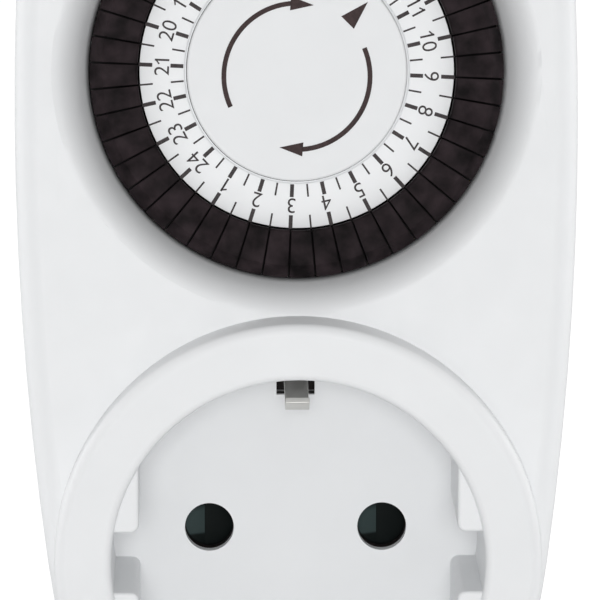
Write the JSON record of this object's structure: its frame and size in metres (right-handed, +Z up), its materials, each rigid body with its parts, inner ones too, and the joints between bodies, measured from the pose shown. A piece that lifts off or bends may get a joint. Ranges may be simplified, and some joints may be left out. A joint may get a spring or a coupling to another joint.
{
  "type": "plug-in timer switch",
  "caption": "Plug-in mechanical timer switch: a round plug with two pins behind, an earthed round socket in front and a sloping day dial with a ring of press-down switching trippers above it.",
  "frame": {"origin": "centre of the plug's end face", "axes": "+Y is the way the plug pins point, so the socket and the dial face -Y; +Z up, from the socket towards the dial; +X completes the frame"},
  "size_m": [0.0606, 0.0735, 0.109],
  "materials": {
    "white_plastic": "moulded white thermoplastic, satin",
    "white_dial_plastic": "smooth white plastic",
    "dark_plastic": "dark brown-black plastic, satin",
    "gear_plastic": "natural acetal",
    "switch_plastic": "black thermoset",
    "plunger_plastic": "red plastic",
    "slider_plastic": "red plastic",
    "shutter_plastic": "dark grey-green plastic",
    "nickel": "nickel-plated brass",
    "contact_brass": "stamped brass",
    "steel": "zinc-plated steel"
  },
  "bodies": {
    "housing": {"front_shell": "white_plastic", "rear_shell": "white_plastic", "housing_screws": "steel", "live_pin": "nickel", "neutral_pin": "nickel", "earth_strap": "nickel", "live_contact": "contact_brass", "neutral_contact": "contact_brass", "neutral_bar": "contact_brass", "live_in_bar": "contact_brass", "live_out_bar": "contact_brass", "mechanism_plate": "gear_plastic", "plate_screws": "steel", "centre_disc": "white_dial_plastic", "stem_clip": "steel", "gear_axle": "steel", "motor": "steel", "motor_screws": "steel", "micro_switch": "switch_plastic", "switch_blades": "contact_brass", "switch_pins": "steel", "lever_pin": "steel"},
    "dial": {"dial_body": "dark_plastic", "scale_ring": "white_dial_plastic"},
    "second_gear": {"second_gear": "gear_plastic"},
    "first_gear": {"first_gear": "gear_plastic"},
    "motor_pinion": {"motor_pinion": "contact_brass"},
    "override_slider": {"override_slider": "slider_plastic"},
    "switch_lever": {"switch_lever": "gear_plastic"},
    "switch_plunger": {"switch_plunger": "plunger_plastic"},
    "socket_shutter": {"socket_shutter": "shutter_plastic"},
    "trippers_01": {"trippers_01": "dark_plastic"},
    "trippers_02": {"trippers_02": "dark_plastic"},
    "trippers_03": {"trippers_03": "dark_plastic"},
    "trippers_04": {"trippers_04": "dark_plastic"},
    "trippers_05": {"trippers_05": "dark_plastic"},
    "trippers_06": {"trippers_06": "dark_plastic"},
    "trippers_07": {"trippers_07": "dark_plastic"},
    "trippers_08": {"trippers_08": "dark_plastic"},
    "trippers_09": {"trippers_09": "dark_plastic"},
    "trippers_10": {"trippers_10": "dark_plastic"},
    "trippers_11": {"trippers_11": "dark_plastic"},
    "trippers_12": {"trippers_12": "dark_plastic"},
    "trippers_13": {"trippers_13": "dark_plastic"},
    "trippers_14": {"trippers_14": "dark_plastic"},
    "trippers_15": {"trippers_15": "dark_plastic"},
    "trippers_16": {"trippers_16": "dark_plastic"},
    "trippers_17": {"trippers_17": "dark_plastic"},
    "trippers_18": {"trippers_18": "dark_plastic"},
    "trippers_19": {"trippers_19": "dark_plastic"},
    "trippers_20": {"trippers_20": "dark_plastic"},
    "trippers_21": {"trippers_21": "dark_plastic"},
    "trippers_22": {"trippers_22": "dark_plastic"},
    "trippers_23": {"trippers_23": "dark_plastic"},
    "trippers_24": {"trippers_24": "dark_plastic"}
  },
  "joints": [
    {"name": "dial_turn", "type": "hinge", "parent": "housing", "child": "dial", "pos_m": [0, -0.04519, 0.05213], "axis": [0, -0.9877, 0.1564], "continuous": true},
    {"name": "second_gear_turn", "type": "hinge", "parent": "housing", "child": "second_gear", "pos_m": [-0.012, -0.04519, 0.05213], "axis": [0, -0.9877, 0.1564], "continuous": true},
    {"name": "first_gear_turn", "type": "hinge", "parent": "housing", "child": "first_gear", "pos_m": [-0.0055, -0.04695, 0.04101], "axis": [0, -0.9877, 0.1564], "continuous": true},
    {"name": "motor_pinion_turn", "type": "hinge", "parent": "housing", "child": "motor_pinion", "pos_m": [0.0075, -0.04695, 0.04101], "axis": [0, -0.9877, 0.1564], "continuous": true},
    {"name": "override_slide", "type": "slide", "parent": "housing", "child": "override_slider", "axis": [0, 0.1564, 0.9877], "range_m": [0, 0.005]},
    {"name": "switch_lever_tilt", "type": "hinge", "parent": "housing", "child": "switch_lever", "pos_m": [0.0188, -0.02957, 0.05874], "axis": [1, 0, 0], "range_deg": [0, 10]},
    {"name": "switch_plunger_push", "type": "slide", "parent": "housing", "child": "switch_plunger", "axis": [0, 0.9877, -0.1564], "range_m": [0, 0.0007]},
    {"name": "shutter_slide", "type": "slide", "parent": "housing", "child": "socket_shutter", "axis": [-1, 0, 0], "range_m": [0, 0.0056], "stiffness_N_per_m": 30},
    {"name": "trippers_01_press", "type": "slide", "parent": "dial", "child": "trippers_01", "axis": [0, 0.9877, -0.1564], "range_m": [0, 0.002]},
    {"name": "trippers_02_press", "type": "slide", "parent": "dial", "child": "trippers_02", "axis": [0, 0.9877, -0.1564], "range_m": [0, 0.002]},
    {"name": "trippers_03_press", "type": "slide", "parent": "dial", "child": "trippers_03", "axis": [0, 0.9877, -0.1564], "range_m": [0, 0.002]},
    {"name": "trippers_04_press", "type": "slide", "parent": "dial", "child": "trippers_04", "axis": [0, 0.9877, -0.1564], "range_m": [0, 0.002]},
    {"name": "trippers_05_press", "type": "slide", "parent": "dial", "child": "trippers_05", "axis": [0, 0.9877, -0.1564], "range_m": [0, 0.002]},
    {"name": "trippers_06_press", "type": "slide", "parent": "dial", "child": "trippers_06", "axis": [0, 0.9877, -0.1564], "range_m": [0, 0.002]},
    {"name": "trippers_07_press", "type": "slide", "parent": "dial", "child": "trippers_07", "axis": [0, 0.9877, -0.1564], "range_m": [0, 0.002]},
    {"name": "trippers_08_press", "type": "slide", "parent": "dial", "child": "trippers_08", "axis": [0, 0.9877, -0.1564], "range_m": [0, 0.002]},
    {"name": "trippers_09_press", "type": "slide", "parent": "dial", "child": "trippers_09", "axis": [0, 0.9877, -0.1564], "range_m": [0, 0.002]},
    {"name": "trippers_10_press", "type": "slide", "parent": "dial", "child": "trippers_10", "axis": [0, 0.9877, -0.1564], "range_m": [0, 0.002]},
    {"name": "trippers_11_press", "type": "slide", "parent": "dial", "child": "trippers_11", "axis": [0, 0.9877, -0.1564], "range_m": [0, 0.002]},
    {"name": "trippers_12_press", "type": "slide", "parent": "dial", "child": "trippers_12", "axis": [0, 0.9877, -0.1564], "range_m": [0, 0.002]},
    {"name": "trippers_13_press", "type": "slide", "parent": "dial", "child": "trippers_13", "axis": [0, 0.9877, -0.1564], "range_m": [0, 0.002]},
    {"name": "trippers_14_press", "type": "slide", "parent": "dial", "child": "trippers_14", "axis": [0, 0.9877, -0.1564], "range_m": [0, 0.002]},
    {"name": "trippers_15_press", "type": "slide", "parent": "dial", "child": "trippers_15", "axis": [0, 0.9877, -0.1564], "range_m": [0, 0.002]},
    {"name": "trippers_16_press", "type": "slide", "parent": "dial", "child": "trippers_16", "axis": [0, 0.9877, -0.1564], "range_m": [0, 0.002]},
    {"name": "trippers_17_press", "type": "slide", "parent": "dial", "child": "trippers_17", "axis": [0, 0.9877, -0.1564], "range_m": [0, 0.002]},
    {"name": "trippers_18_press", "type": "slide", "parent": "dial", "child": "trippers_18", "axis": [0, 0.9877, -0.1564], "range_m": [0, 0.002]},
    {"name": "trippers_19_press", "type": "slide", "parent": "dial", "child": "trippers_19", "axis": [0, 0.9877, -0.1564], "range_m": [0, 0.002]},
    {"name": "trippers_20_press", "type": "slide", "parent": "dial", "child": "trippers_20", "axis": [0, 0.9877, -0.1564], "range_m": [0, 0.002]},
    {"name": "trippers_21_press", "type": "slide", "parent": "dial", "child": "trippers_21", "axis": [0, 0.9877, -0.1564], "range_m": [0, 0.002]},
    {"name": "trippers_22_press", "type": "slide", "parent": "dial", "child": "trippers_22", "axis": [0, 0.9877, -0.1564], "range_m": [0, 0.002]},
    {"name": "trippers_23_press", "type": "slide", "parent": "dial", "child": "trippers_23", "axis": [0, 0.9877, -0.1564], "range_m": [0, 0.002]},
    {"name": "trippers_24_press", "type": "slide", "parent": "dial", "child": "trippers_24", "axis": [0, 0.9877, -0.1564], "range_m": [0, 0.002]}
  ],
  "couplings": [
    {"joint": "second_gear_turn", "follows": "dial_turn", "ratio": -3},
    {"joint": "first_gear_turn", "follows": "dial_turn", "ratio": 10},
    {"joint": "motor_pinion_turn", "follows": "dial_turn", "ratio": -33.333},
    {"joint": "switch_lever_tilt", "follows": "override_slide", "rad_per_m": 34.906},
    {"joint": "switch_plunger_push", "follows": "override_slide", "ratio": 0.1389}
  ]
}
